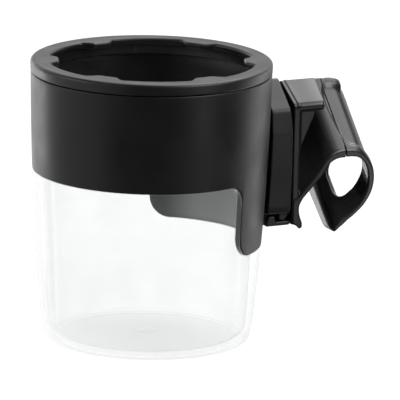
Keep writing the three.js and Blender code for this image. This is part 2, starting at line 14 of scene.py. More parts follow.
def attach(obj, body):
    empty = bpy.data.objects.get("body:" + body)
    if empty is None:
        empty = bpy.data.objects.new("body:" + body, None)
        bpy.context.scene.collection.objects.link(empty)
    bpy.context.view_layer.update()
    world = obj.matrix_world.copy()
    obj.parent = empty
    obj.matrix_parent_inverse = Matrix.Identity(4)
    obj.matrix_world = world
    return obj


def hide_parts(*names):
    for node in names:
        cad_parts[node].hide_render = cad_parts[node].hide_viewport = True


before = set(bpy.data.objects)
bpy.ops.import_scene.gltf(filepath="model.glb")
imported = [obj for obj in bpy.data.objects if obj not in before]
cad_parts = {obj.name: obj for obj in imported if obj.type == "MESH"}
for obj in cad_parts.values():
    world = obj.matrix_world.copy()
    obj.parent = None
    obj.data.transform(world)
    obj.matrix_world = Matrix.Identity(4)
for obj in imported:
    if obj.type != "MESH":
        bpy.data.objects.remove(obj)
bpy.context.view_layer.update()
MM = 0.001
CELL = 0.3  # grid step of the moulded shapes
SCREW_CELL = 0.15
RING_COLUMNS = 360

# Outer wall of cup and collar: (height, radius)
WALL = [
    (0, 39.6), (8, 40.4), (25, 42.15), (45, 43.7), (63, 44.75), (85, 45.45), (105, 46.0),
]
WALL_FIT = np.polyfit([z for z, _ in WALL], [radius for _, radius in WALL], 3)

CUP_TOP = 103.5
COLLAR_TOP, COLLAR_WALL = 103.7, 2.2
GAP = 0.3  # between neighbouring parts

# Lower edge of the collar: a lobe hangs down about +X. Lengths round it are arcs at ARC_RADIUS.
ARC_RADIUS = 44.2
COLLAR_LOW, LOBE_LOW = 65.9, 37.3
LOBE_HALF = 49.2  # half the lobe's width
CORNER, FILLET = 8.4, 6.0  # radii at the foot and the root of the lobe
CORNER_START, FILLET_START = LOBE_HALF - CORNER, LOBE_HALF + 0.3
FAR_SIDE = math.pi * ARC_RADIUS

BLOCK_SCREWS = [  # (tag, y, z)
    ("low_left", -8.2, 58.0), ("low_right", 8.2, 58.0),
    ("high_left", -8.2, 82.0), ("high_right", 8.2, 82.0),
]
RAIL_SCREWS = [("low", 72.0), ("high", 83.0)]  # (tag, z), on y = 0
PLATE_BACK, PLATE_FRONT = 55.0, 58.0  # x of the clip's plate


# ------------------------------------------------------------------ meshes
def mesh_object(name, points, quads, weld=False):
    """Smooth-shaded object; weld merges coinciding points and turns the faces outwards."""
    mesh = bpy.data.meshes.new(name)
    points = np.asarray(points, np.float64) * MM
    quads = np.asarray(quads, np.int32)
    mesh.vertices.add(len(points))
    mesh.vertices.foreach_set("co", points.astype(np.float32).ravel())
    mesh.loops.add(quads.size)
    mesh.loops.foreach_set("vertex_index", quads.ravel())
    mesh.polygons.add(len(quads))
    mesh.polygons.foreach_set("loop_start", np.arange(0, quads.size, 4, dtype=np.int32))
    mesh.polygons.foreach_set("loop_total", np.full(len(quads), 4, np.int32))
    mesh.update(calc_edges=True)
    mesh.validate()
    if weld:
        bm = bmesh.new()
        bm.from_mesh(mesh)
        bmesh.ops.remove_doubles(bm, verts=bm.verts, dist=1e-7)
        bmesh.ops.dissolve_degenerate(bm, dist=1e-8, edges=bm.edges)
        bmesh.ops.recalc_face_normals(bm, faces=bm.faces)
        bm.to_mesh(mesh)
        bm.free()
    mesh.polygons.foreach_set("use_smooth", np.ones(len(mesh.polygons), bool))
    return link_object(name, mesh)


def link_object(name, data):
    obj = bpy.data.objects.new(name, data)
    bpy.context.scene.collection.objects.link(obj)
    return obj


class Turned:
    """A profile swept about Z, whose radius and height may change with the angle."""

    def __init__(self, angles):
        self.angles = angles
        self.rings = []

    def ring(self, radius, height):
        flat = np.zeros(len(self.angles))
        self.rings.append((radius + flat, height + flat))

    def build(self, name, closed):
        """closed joins the last ring to the first."""
        radius, height = np.array(self.rings).transpose(1, 2, 0)
        cos, sin = np.cos(self.angles)[:, None], np.sin(self.angles)[:, None]
        points = np.stack([radius * cos, radius * sin, height], -1)
        columns, rings = radius.shape
        i = np.arange(columns)[:, None]
        j = np.arange(rings if closed else rings - 1)[None, :]
        here, beside = i * rings, ((i + 1) % columns) * rings
        above = (j + 1) % rings
        quads = np.stack([here + j, beside + j, beside + above, here + above], -1)
        return mesh_object(name, points.reshape(-1, 3), quads.reshape(-1, 4), weld=True)


def arc(steps, first=0, sweep=math.pi / 2):
    """Angles from 0 to sweep, starting at step number first."""
    return [sweep * k / steps for k in range(first, steps + 1)]


def smooth_outline(points, per_span=6):
    """Smooth closed curve through the points. A point with a third value stays a corner."""
    spots = np.array([point[:2] for point in points], float)
    sharp = [len(point) > 2 for point in points]
    count = len(points)
    curve = []
    for k in range(count):
        following = (k + 1) % count
        start, end = spots[k], spots[following]
        before = 2 * start - end if sharp[k] else spots[k - 1]
        after = 2 * end - start if sharp[following] else spots[(k + 2) % count]
        span = np.linalg.norm(end - start)
        leave = (end - before) / (span + np.linalg.norm(start - before)) * span
        arrive = (after - start) / (np.linalg.norm(after - end) + span) * span
        for step in range(per_span):
            t = step / per_span
            curve.append(
                (2 * t**3 - 3 * t**2 + 1) * start
                + (t**3 - 2 * t**2 + t) * leave
                + (-2 * t**3 + 3 * t**2) * end
                + (t**3 - t**2) * arrive
            )
    return np.array(curve)


# ------------------------------------------------------------------ distance fields
# A field is negative inside its shape. Each function that blends takes the blend's width last.
def segment_distance_squared(x, y, start, end):
    (x0, y0), (run, climb) = start, end - start
    t = np.clip(((x - x0) * run + (y - y0) * climb) / (run * run + climb * climb), 0, 1)
    return (x - x0 - t * run) ** 2 + (y - y0 - t * climb) ** 2


def polygon_distance(polygon, x, y):
    nearest = np.full(x.shape, 1e18)
    inside = np.zeros(x.shape, bool)
    for start, end in zip(polygon, np.roll(polygon, -1, axis=0)):
        nearest = np.minimum(nearest, segment_distance_squared(x, y, start, end))
        (x0, y0), (x1, y1) = start, end
        if y0 != y1:
            crosses = (y0 > y) != (y1 > y)
            inside ^= crosses & (x < x0 + (y - y0) * (x1 - x0) / (y1 - y0))
    return np.where(inside, -1, 1) * np.sqrt(nearest)


class Outline:
    """A polygon's distance field on a flat grid, blurred so that its corners are round."""

    STEP, MARGIN = 0.12, 4.0

    def __init__(self, polygon, soften, cap=6.0):
        polygon = np.asarray(polygon, float)
        low, high = polygon.min(0) - self.MARGIN, polygon.max(0) + self.MARGIN
        self.low = low
        columns, rows = np.ceil((high - low) / self.STEP).astype(int) + 1
        x, y = np.meshgrid(
            low[0] + np.arange(columns) * self.STEP,
            low[1] + np.arange(rows) * self.STEP,
            indexing="ij",
        )
        grid = np.clip(polygon_distance(polygon, x, y), -cap, cap)
        reach = int(math.ceil(3 * soften / self.STEP))
        weights = np.exp(-0.5 * (np.arange(-reach, reach + 1) * self.STEP / soften) ** 2)
        weights /= weights.sum()
        for axis in (0, 1):
            margins = [(reach, reach) if a == axis else (0, 0) for a in (0, 1)]
            padded = np.pad(grid, margins, mode="edge")
            size = grid.shape[axis]
            grid = sum(
                weights[q] * np.take(padded, np.arange(q, q + size), axis=axis)
                for q in range(2 * reach + 1)
            )
        self.grid = grid

    def __call__(self, x, y):
        u = (x - self.low[0]) / self.STEP
        v = (y - self.low[1]) / self.STEP
        grid = self.grid
        columns, rows = grid.shape
        outside = np.maximum(np.maximum(-u, u - (columns - 1)), np.maximum(-v, v - (rows - 1)))
        u = np.clip(u, 0, columns - 1.001)
        v = np.clip(v, 0, rows - 1.001)
        i, j = u.astype(np.int32), v.astype(np.int32)
        a, b = u - i, v - j
        near_row = grid[i, j] * (1 - a) + grid[i + 1, j] * a
        far_row = grid[i, j + 1] * (1 - a) + grid[i + 1, j + 1] * a
        return near_row * (1 - b) + far_row * b + np.maximum(outside, 0) * self.STEP


def curved(points, soften):
    return Outline(smooth_outline(points), soften)


def join(a, b, width):
    h = np.clip(0.5 + 0.5 * (b - a) / width, 0, 1)
    return b * (1 - h) + a * h - width * h * (1 - h)


def meet(a, b, width):
    return -join(-a, -b, width)


def cut(a, b, width):
    return meet(a, -b, width)


def beyond(value, low, high):
    return np.maximum(low - value, value - high)


def box(x, y, z, low, high, radius):
    """Box with rounded edges between two corners."""
    gaps = [
        np.abs(place - (a + b) / 2) - ((b - a) / 2 - radius)
        for place, a, b in zip((x, y, z), low, high)
    ]
    outside = np.sqrt(sum(np.maximum(gap, 0) ** 2 for gap in gaps))
    return outside + np.minimum(np.maximum(np.maximum(*gaps[:2]), gaps[2]), 0) - radius


def surface(field, low, high, cell):
    """Surface net of field < 0 in the box, with its points pulled onto the surface."""
    low = np.asarray(low, float)
    size = np.ceil((np.asarray(high, float) - low) / cell).astype(int) + 1
    axes = [low[k] + np.arange(size[k]) * cell for k in range(3)]
    values = np.empty(size, np.float32)
    for i in range(0, size[0], 16):  # in slabs, to save memory
        slab = np.meshgrid(axes[0][i : i + 16], axes[1], axes[2], indexing="ij")
        values[i : i + 16] = field(*slab)
    for k in range(3):  # closed at the walls of the box
        wall = [slice(None)] * 3
        for end in (0, -1):
            wall[k] = end
            values[tuple(wall)] = np.maximum(values[tuple(wall)], 0.5 * cell)
    inside = values < 0

    # one point in each cell that the surface crosses
    corners = [(a, b, c) for a in (0, 1) for b in (0, 1) for c in (0, 1)]
    filled = np.zeros(size - 1, np.int8)
    for a, b, c in corners:
        filled += inside[a : a + size[0] - 1, b : b + size[1] - 1, c : c + size[2] - 1]
    active = (filled > 0) & (filled < 8)
    cells = np.argwhere(active)
    number = np.full(size - 1, -1, np.int64)
    number[active] = np.arange(len(cells))
    crossing_sum = np.zeros((len(cells), 3))
    crossings = np.zeros(len(cells))
    for p in corners:
        for q in corners:
            if sum(q) - sum(p) == 1 and all(b >= a for a, b in zip(p, q)):
                value_p = values[tuple((cells + p).T)]
                value_q = values[tuple((cells + q).T)]
                crossed = (value_p < 0) != (value_q < 0)
                t = np.where(crossed, value_p / np.where(crossed, value_p - value_q, 1), 0)
                place = np.array(p)[None] + t[:, None] * (np.array(q) - np.array(p))[None]
                crossing_sum[crossed] += place[crossed]
                crossings[crossed] += 1
    points = (cells + crossing_sum / crossings[:, None]) * cell + low

    # one quad round each grid edge that the surface crosses
    quads = []
    for k in range(3):
        a, b = (k + 1) % 3, (k + 2) % 3
        lower = [slice(1, -1)] * 3
        lower[k] = slice(0, -1)
        upper = list(lower)
        upper[k] = slice(1, None)
        here, there = inside[tuple(lower)], inside[tuple(upper)]
        edges = np.argwhere(here != there)
        outward = here[tuple(edges.T)]
        edges[:, [a, b]] += 1  # the slices began at 1 on these axes
        around = []
        for back_a, back_b in ((1, 1), (0, 1), (0, 0), (1, 0)):
            spot = edges.copy()
            spot[:, a] -= back_a
            spot[:, b] -= back_b
            around.append(number[tuple(spot.T)])
        around = np.stack(around, 1)
        around[~outward] = around[~outward][:, ::-1]
        quads.append(around)

    probe = 0.02
    for _ in range(2):
        distance = field(*points.T)
        slope = np.stack([
            field(*(points + step).T) - field(*(points - step).T) for step in probe * np.eye(3)
        ], 1) / (2 * probe)
        steepness = np.maximum((slope**2).sum(1), 0.25)
        shift = np.clip(distance / steepness, -0.4 * cell, 0.4 * cell)
        points = points - shift[:, None] * slope
    return points, np.concatenate(quads)


# ------------------------------------------------------------------ wall and collar edge
def wall_radius(z):
    return np.polyval(WALL_FIT, z)


def ease(t):
    t = np.clip(t, 0, 1)
    return t * t * (3 - 2 * t)


def edge_curve():
    """Lower edge of the collar as (arc, height) from the lobe's middle to the far side."""
    points = [(0.0, LOBE_LOW), (CORNER_START, LOBE_LOW)]
    for a in arc(24, first=1):
        points.append((
            CORNER_START + CORNER * math.sin(a),
            LOBE_LOW + CORNER * (1 - math.cos(a)),
        ))
    for a in arc(18):
        points.append((
            FILLET_START + FILLET * (1 - math.cos(a)),
            COLLAR_LOW - FILLET + FILLET * math.sin(a),
        ))
    points.append((FAR_SIDE, COLLAR_LOW))
    return np.array(points)


def column_angles():
    """Angles round cup and collar, closer together at the sides of the lobe."""
    quarter = math.pi / 2
    arcs = np.concatenate([
        np.linspace(0, CORNER_START, 34),
        CORNER_START + CORNER * np.sin(np.linspace(0, quarter, 22))[1:-1],
        LOBE_HALF - np.array([0.45, 0.25, 0.1, 0]),
        [FILLET_START],
        FILLET_START + FILLET * (1 - np.cos(np.linspace(0, quarter, 16)))[1:],
        np.linspace(FILLET_START + FILLET, FAR_SIDE, 66)[1:],
    ])
    angles = np.unique(np.round(arcs, 4)) / ARC_RADIUS
    return np.concatenate([angles, -angles[1:-1][::-1]])


EDGE = edge_curve()
COLUMNS = column_angles()
COLUMN_ARCS = np.abs(COLUMNS) * ARC_RADIUS
COLUMN_EDGE = np.interp(COLUMN_ARCS, EDGE[:, 0], EDGE[:, 1])


# ------------------------------------------------------------------ clear cup
# (radius, height) outwards from the middle of the underside
CUP_UNDERSIDE = [(0.0, 0.35), (12.0, 0.35), (30.0, 0.35), (33.2, 0.3)]
# (radius, height) inwards over the floor to a shallow round dimple
CUP_FLOOR = [
    (29.0, 2.44), (22.0, 2.42), (12.0, 2.4), (3.9, 2.4), (3.55, 2.38), (3.3, 2.25),
    (3.1, 2.03), (2.9, 1.98), (1.5, 1.98), (1.05, 2.0), (0.95, 2.15), (0.75, 2.22), (0.0, 2.22),
]
STANDING_RADIUS, STANDING_HALF, STANDING_DEPTH = 34.6, 0.9, 0.3
HEEL = 2.1  # radius of the outer bottom corner
SHOULDER, SHOULDER_ROOT = 0.55, 0.5  # radii of the step below the collar
LIP = 0.65
FLOOR_CORNER = 4.2


def cup_inner_radius(z):
    return wall_radius(z) - (2.7 + 1.1 * ease((z - 8) / 28))


def make_cup():
    cup = Turned(COLUMNS)
    edge = COLUMN_EDGE - GAP
    inset = COLLAR_WALL + GAP  # the wall steps in behind the collar
    for radius, z in CUP_UNDERSIDE:
        cup.ring(radius, z)
    for a in arc(4, sweep=math.pi):  # standing ring
        radius = STANDING_RADIUS - STANDING_HALF * math.cos(a)
        cup.ring(radius, 0.3 - STANDING_DEPTH * math.sin(a))
    cup.ring(36.0, 0.3)
    cup.ring(37.0, 0.25)
    for a in arc(6):
        cup.ring(37.3 + HEEL * math.sin(a), 0.25 + HEEL * (1 - math.cos(a)))
    cup.ring(39.75, 4.0)
    for z in (6.0, 8.0):
        cup.ring(wall_radius(z), z)
    for t in np.linspace(0, 1, 14)[1:-1]:
        z = 8 + (edge - 0.7 - 8) * t
        cup.ring(wall_radius(z), z)
    for a in arc(5):
        z = edge - SHOULDER + SHOULDER * math.sin(a)
        cup.ring(wall_radius(z) - SHOULDER * (1 - math.cos(a)), z)
    for a in arc(3):
        radius = wall_radius(edge) - inset + SHOULDER_ROOT * (1 - math.sin(a))
        cup.ring(radius, edge + SHOULDER_ROOT * (1 - math.cos(a)))
    for t in np.linspace(0, 1, 7)[1:]:
        z = edge + SHOULDER_ROOT + (CUP_TOP - 0.8 - edge - SHOULDER_ROOT) * t
        cup.ring(wall_radius(z) - inset, z)
    outer, inner = wall_radius(CUP_TOP) - inset, cup_inner_radius(CUP_TOP)
    for a in arc(6, first=1, sweep=math.pi):  # lip
        radius = (outer + inner) / 2 + (outer - inner) / 2 * math.cos(a)
        cup.ring(radius, CUP_TOP - LIP + LIP * math.sin(a))
    for z in np.linspace(CUP_TOP - 2, 9, 26):
        cup.ring(cup_inner_radius(z), z)
    for step, a in enumerate(arc(8)):  # corner between wall and floor
        radius = cup_inner_radius(8.5) - FLOOR_CORNER * (1 - math.cos(a)) - 0.25 * step / 8
        cup.ring(radius, 6.7 - FLOOR_CORNER * math.sin(a))
    for radius, z in CUP_FLOOR:
        cup.ring(radius, z)
    return cup.build("cup_shell", closed=False)


# ------------------------------------------------------------------ collar
EDGE_ROUND, TOP_ROUND = 0.55, 0.5
EDGE_ROWS = [0.0, 0.06, 0.16, 0.32, 0.55, 0.9, 1.6, 3, 5]  # heights above the lower edge
TOP_BEVEL, LOW_BEVEL = 0.3, 0.25  # on the inner rims


def make_collar():
    collar = Turned(COLUMNS)
    edge = COLUMN_EDGE

    def outer_ring(z):
        """Ring on the outer wall, drawn in where it nears the lower edge."""
        near = min_edge_distance(z)
        drop = np.sqrt(np.maximum(EDGE_ROUND**2 - (EDGE_ROUND - near) ** 2, 0))
        collar.ring(wall_radius(z) - (EDGE_ROUND - drop), z)

    def min_edge_distance(z):
        squares = [segment_distance_squared(COLUMN_ARCS, z, *ends)
                   for ends in zip(EDGE[:-1], EDGE[1:])]
        return np.minimum(np.sqrt(np.min(squares, axis=0)), EDGE_ROUND)

    for rise in EDGE_ROWS:
        outer_ring(edge + rise)
    above = EDGE_ROWS[-1]
    for t in np.linspace(0, 1, 18)[1:]:
        outer_ring(edge + above + (COLLAR_TOP - TOP_ROUND - edge - above) * t)
    for a in arc(4, first=1):
        z = COLLAR_TOP - TOP_ROUND + TOP_ROUND * math.sin(a)
        collar.ring(wall_radius(z) - TOP_ROUND * (1 - math.cos(a)), z)
    top_inner = wall_radius(COLLAR_TOP) - COLLAR_WALL
    collar.ring(top_inner + TOP_BEVEL, COLLAR_TOP)
    collar.ring(top_inner, COLLAR_TOP - TOP_BEVEL)
    for t in np.linspace(1, 0, 9)[1:]:
        z = edge + LOW_BEVEL + (COLLAR_TOP - TOP_BEVEL - edge - LOW_BEVEL) * t
        collar.ring(wall_radius(z) - COLLAR_WALL, z)
    collar.ring(wall_radius(edge) - COLLAR_WALL + LOW_BEVEL, edge)
    return collar.build("collar_shell", closed=True)


# ------------------------------------------------------------------ soft ring
RING_LOW, RING_TOP = COLLAR_TOP + GAP, 108.35
TAB_PITCH, FIRST_TAB = 60, 37  # degrees
TAB_DEPTH, TAB_HALF, TAB_FADE = 4.0, 4.6, 7.0  # mm inwards, then degrees
RING_INNER = 39.3
OUTER_ROUND, INNER_ROUND, UNDER_ROUND = 1.35, 1.1, 0.6
# (radius, height) from under the tabs, down round the inner skirt and out below the ring
RING_SKIRT = [
    (40.5, 105.9), (40.75, 105.75), (40.8, 105.5), (40.8, 102.2), (41.0, 101.95),
    (41.45, 101.95), (41.65, 102.2), (41.75, RING_LOW - 0.1), (41.9, RING_LOW),
    (43.5, RING_LOW),
]


def make_ring():
    """Ring on top of the collar, with six tabs reaching inwards."""
    angles = np.linspace(0, 2 * math.pi, RING_COLUMNS, endpoint=False)
    degrees = np.degrees(angles) - FIRST_TAB
    off_tab = np.abs(degrees - np.round(degrees / TAB_PITCH) * TAB_PITCH)
    inner = RING_INNER - TAB_DEPTH * (1 - ease((off_tab - TAB_HALF) / TAB_FADE))
    ring = Turned(angles)
    for radius, rise in ((45.75, 0), (45.93, 0.12), (46.0, 0.4)):
        ring.ring(radius, RING_LOW + rise)
    for z in (105.0, 106.0, 106.6):
        ring.ring(46.0 + 0.04 * (z - 104), z)
    for a in arc(8):
        ring.ring(44.75 + OUTER_ROUND * math.cos(a), 107.0 + OUTER_ROUND * math.sin(a))
    for t in (0.15, 0.5, 0.8):  # slightly hollow top
        radius = 44.75 + (inner + 1.3 - 44.75) * t
        ring.ring(radius, RING_TOP - 0.12 * math.sin(math.pi * t))
    for a in arc(8):
        radius = inner + INNER_ROUND - INNER_ROUND * math.sin(a)
        ring.ring(radius, RING_TOP - 1.0 + 1.0 * math.cos(a))
    for a in arc(5, first=1):
        ring.ring(inner + UNDER_ROUND * (1 - math.cos(a)), 106.5 - UNDER_ROUND * math.sin(a))
    for radius, z in RING_SKIRT:
        ring.ring(radius, z)
    return ring.build("ring_soft", closed=True)


# ------------------------------------------------------------------ hook clip
# The hook's channel climbs at 45 degrees towards +Y. Its outlines are (x, z) in the end plane
# y = CLIP_Y0, and a third value marks a corner.
CLIP_Y0, CLIP_Y1, FLANGE = -12.5, 11.5, 2.2
HOLLOW_Y0, HOLLOW_Y1 = CLIP_Y0 + FLANGE, CLIP_Y1 - FLANGE
SEAM = 77.98  # x where clip and jaw meet
SLANT = math.sqrt(0.5)

FIXED_OUTER = [
    (78.6, 69.2, 1), (76.4, 69.15), (74.3, 68.75), (71.6, 67.6), (69.4, 65.75), (67.5, 63.2),
    (65.2, 60.45), (62.6, 57.7), (60.0, 54.95), (57.5, 52.0), (56.2, 49.6, 1),
]
FIXED_INNER = [
    (57.6, 46.0, 1), (58.3, 48.6), (60.0, 51.45), (62.5, 54.1), (65.2, 56.95), (67.6, 59.6),
    (69.3, 62.2), (70.95, 64.05), (73.1, 65.35), (75.4, 66.0), (78.6, 66.05, 1),
]
JAW_INNER = [
    (77.2, 66.05, 1), (79.6, 66.05), (82.0, 65.9), (84.1, 65.1), (86.0, 63.3), (87.3, 60.6),
    (87.8, 57.6), (87.7, 54.5), (86.7, 51.4), (84.6, 48.1), (81.8, 45.5), (78.4, 42.85),
    (75.6, 40.9), (74.7, 40.0), (73.6, 38.9),
]
JAW_OUTER = [
    (72.45, 37.75), (73.2, 37.15), (74.3, 37.5), (76.2, 38.95), (79.0, 40.8), (82.5, 43.2),
    (86.3, 46.6), (88.85, 50.2), (90.15, 53.5), (90.6, 56.9), (90.3, 60.0), (89.35, 62.7),
    (87.95, 64.9), (86.15, 66.8), (84.1, 68.2), (82.0, 68.95), (77.2, 69.2, 1),
]
RECESS_TOP = [
    (72.5, 78, 1), (72.5, 67.7, 1), (74.5, 67.85), (77, 68.1), (79.5, 68.1), (82.0, 67.85),
    (84.0, 67.2), (85.8, 65.95),
]
RECESS_FRONT = [
    (87.35, 64.2), (88.5, 62.1), (89.25, 59.6), (89.5, 56.9), (89.1, 53.9), (87.9, 50.9),
    (85.6, 47.6), (83.6, 45.8, 1), (86, 42, 1), (99, 44, 1), (99, 78, 1),
]
# The recess seen from above: (x, y)
RECESS_PLAN = [
    (99, HOLLOW_Y0, 1), (99, HOLLOW_Y1, 1), (80.5, HOLLOW_Y1), (78.4, HOLLOW_Y1 - 0.2),
    (76.9, 7.8), (76.1, 5.8), (75.8, 3.5), (76.0, 1), (76.4, -1.5), (76.9, -4.5),
    (77.5, -6.9), (78.6, -9.0), (80.3, HOLLOW_Y0 - 0.05), (83, HOLLOW_Y0),
]
FOOT = [
    (55.5, 41.9), (57.2, 40.6), (58.2, 39.5), (59.6, 39.6), (59.7, 41.3), (58.5, 44.4),
    (57.9, 47.0), (57.3, 51.5), (55.5, 51.0),
]
TOE = [
    (71.0, 38.6), (71.0, 30.2), (73.4, 29.0), (76.0, 30.8), (78.4, 37.0), (79.4, 41.6),
    (77.6, 41.1), (75.2, 39.9),
]
CAP = [
    (80.0, 67.0), (84.5, 66.0), (86.4, 64.8), (86.65, 65.5), (86.65, 67.3), (86.0, 68.0),
    (84.3, 68.75), (82.0, 69.1), (80.0, 69.15),
]
WINDOW = [(74.4, 43.5), (80, 50), (83, 60), (97, 60), (97, 32), (91.6, 32)]
# Everything above the jaw's lowest surface, upright: (x, z)
ABOVE_TOE = [
    (66, 37.15), (74.0, 37.15), (76.2, 39.0), (79.0, 40.8), (82.5, 43.2), (86.4, 46.6),
    (90, 51), (96, 58), (96, 90), (66, 90),
]
GUSSET = [(57, 87.6), (64.6, 87.6), (63.3, 83.0), (57, 68.2)]  # (x, z)
# Upright outlines across the clip: (y, z)
PLATE = [
    (CLIP_Y0, 41.6), (CLIP_Y1, 41.6), (CLIP_Y1, 87.4), (11.9, 88.9), (0, 95.9),
    (-11.9, 88.9), (CLIP_Y0, 87.4),
]
ROOF = [
    (-11.6, 85.7), (-12.5, 86.6), (-12.45, 87.7), (-11.6, 89.15), (0, 95.9), (12.1, 89.0),
    (12.55, 87.4), (12.0, 86.0), (10.5, 86.1), (0, 92.6), (-10.5, 86.1),
]
WEB = [(2.6, 60), (14, 60), (14, 89.0), (2.6, 93.6)]
POCKET = (59.2, 4.8, 40), (90, 9.2, 120)  # corners of the slot that splits the web into ribs


def leaned(points):
    """(x, z) in the end plane to the plane square to the channel."""
    return [(x, z * SLANT, *corner) for x, z, *corner in points]


def lean(y, z):
    """Place across the channel, constant along it."""
    return (z - (y - CLIP_Y0)) * SLANT


def seam_step(y):
    return 0.1 * ease((-10.6 - y) / 0.6)


def hollow_field():
    """Recess sunk into the top and front of both clip and jaw."""
    recess = curved(leaned(RECESS_TOP + RECESS_FRONT), 0.25)
    plan = curved(RECESS_PLAN, 0.25)

    def hollow(x, y, z):
        return meet(recess(x, lean(y, z)), plan(x - 0.45, y), 1.5)

    return hollow


def clip_field(hollow):
    below_arm = [(x + 0.35, z - 1.25) for x, z, *_ in FIXED_OUTER[:-1]]
    plate = Outline(PLATE, 0.45)
    roof = Outline(ROOF, 0.35)
    arm = curved(leaned(FIXED_OUTER + FIXED_INNER), 0.12)
    foot = Outline(leaned(FOOT), 0.3)
    web = Outline(WEB, 0.1)
    space = Outline(leaned(below_arm + [(56, 48), (56, 20), (96, 20), (96, 67.95)]), 0.1, cap=14)
    gusset = Outline(GUSSET, 0.3)

    def clip(x, y, z):
        v = lean(y, z)
        shape = meet(meet(plate(y, z), x - PLATE_FRONT, 0.7), PLATE_BACK - x, 0.5)
        head_end = 70.3 - 1.9 * np.maximum(-y, 0) / 12.6  # shorter towards -Y
        head = meet(meet(roof(y, z), x - head_end, 1.3), 57.0 - x, 0.2)
        shape = join(shape, head, 0.7)
        ribs = meet(meet(web(y, z), x - 70.0, 0.4), 57.0 - x, 0.2)
        ribs = cut(ribs, box(x, y, z, *POCKET, radius=0.4), 0.5)
        ribs = cut(ribs, space(x, v), 0.3)
        hook = join(arm(x, v), foot(x, v), 0.8)
        shape = join(shape, ribs, 0.6)
        shape = join(shape, hook, 1.0)
        shape = join(shape, join(head, hook, 6.0), 0.3)
        shape = join(shape, meet(gusset(x, z), beyond(y, -12.15, -10.0), 0.4), 0.6)
        shape = meet(shape, beyond(y, CLIP_Y0, CLIP_Y1), 0.7)
        shape = cut(shape, hollow(x, y, z), 0.9)
        for _, hole_z in RAIL_SCREWS:  # a through hole, then a wider one for the head
            q = np.sqrt(y**2 + (z - hole_z) ** 2)
            shape = cut(shape, np.maximum(q - 1.55, x - 60.5), 0.2)
            shape = cut(shape, np.maximum(q - 2.4, beyond(x, 56.7, 60.5)), 0.2)
        return meet(shape, x - SEAM + seam_step(y), 0.05)

    return clip


def jaw_field(hollow):
    arm = curved(leaned(JAW_INNER + JAW_OUTER), 0.12)
    toe = Outline(leaned(TOE), 0.3)
    above_toe = Outline(ABOVE_TOE, 0.25, cap=14)
    trim = curved(leaned([(86.6, 78, 1), (86.6, 65.3, 1)] + RECESS_FRONT), 0.25)
    cap = Outline(leaned(CAP), 0.2)
    window = Outline(leaned(WINDOW), 0.2)
    tip_x, tip_z = JAW_INNER[-1]

    def jaw(x, y, z):
        v = lean(y, z)
        low = toe(x, v + 0.1 * (y - CLIP_Y0 - 7))
        low = meet(low, above_toe(x, z), 1.6)
        low = meet(low, (v - (tip_z + x - tip_x) * SLANT) * 0.8, 0.3)
        shape = join(arm(x, v), low, 0.6)
        shape = np.where(v < 50 * SLANT, meet(shape, 72.5 - x, 2.0), shape)
        shape = cut(shape, meet(trim(x, v), 9.1 - y, 0.5), 0.4)
        shape = join(shape, meet(cap(x, v), 9.3 - y, 0.4), 0.3)
        shape = meet(shape, beyond(y, CLIP_Y0, CLIP_Y1), 0.7)
        shape = cut(shape, hollow(x, y, z), 0.9)
        shape = cut(shape, meet(window(x, v), beyond(y, -6.8, 6.0), 5.0), 0.5)
        parted = meet(shape, SEAM + 0.03 + seam_step(y) - x, 0.05)
        return np.where(v > 56 * SLANT, parted, shape)

    return jaw


# ------------------------------------------------------------------ mount block and tongue
BLOCK_HALF, BLOCK_FRONT = 13.2, 54.3  # y, x
BLOCK_SIDE = [  # (y, z) up the +Y side
    (BLOCK_HALF - 0.4, 46.4), (BLOCK_HALF + 0.1, 49.4), (BLOCK_HALF + 0.7, 64),
    (BLOCK_HALF + 0.5, 78), (12.1, 87.0),
]
# (x, z)
BLOCK_LIP = [(49.9, 48), (49.9, 43.85), (51.2, 43.5), (52.7, 43.85), (54.3, 46.1), (54.3, 48)]
TONGUE = [
    (54.75, 41.45), (54.75, 43.15), (48.95, 43.15), (48.3, 45.35), (45.7, 45.35),
    (44.75, 43.3), (44.75, 41.4),
]
NECK = (38, -10.8, 49), (48, 10.8, 87)  # box corners, like the two below
CHANNEL = (46.2, -5.8, 30), (49.85, 5.8, 88.6)
SLOT = (48.5, -3.3, 30), (60, 3.3, 88.6)


def block_field():
    other_side = [(-y, z) for y, z in BLOCK_SIDE]
    outline = Outline(other_side + [(0, 97.3)] + BLOCK_SIDE[::-1], 0.55)
    lip = Outline(BLOCK_LIP, 0.2)

    def block(x, y, z):
        back = 43.9 + (z - 40) * 0.036
        shape = meet(meet(outline(y, z), x - BLOCK_FRONT, 1.1), back - x, 0.6)
        shape = join(shape, box(x, y, z, *NECK, radius=1.0), 0.5)
        shape = meet(shape, wall_radius(z) + 0.33 - np.sqrt(x**2 + y**2), 0.2)
        shape = join(shape, meet(lip(x, z), np.abs(y) - 11.6, 0.4), 0.5)
        for opening in (CHANNEL, SLOT):
            shape = cut(shape, box(x, y, z, *opening, radius=0.3), 0.25)
        for _, hole_y, hole_z in BLOCK_SCREWS:
            bore = np.sqrt((y - hole_y) ** 2 + (z - hole_z) ** 2) - 1.5
            shape = np.maximum(shape, -np.maximum(bore, x - 51.2))
        return shape

    return block


def tongue_field():
    outline = Outline(TONGUE, 0.25)

    def tongue(x, y, z):
        shape = meet(outline(x, z), np.abs(y) - 11.4, 0.6)
        for middle in (-7.0, 0.0, 7.0):  # shallow grooves that thin the root
            low, high = (50.2, middle - 2.1, 42.75), (53.9, middle + 2.1, 44)
            shape = cut(shape, box(x, y, z, low, high, radius=0.2), 0.2)
        return shape

    return tongue


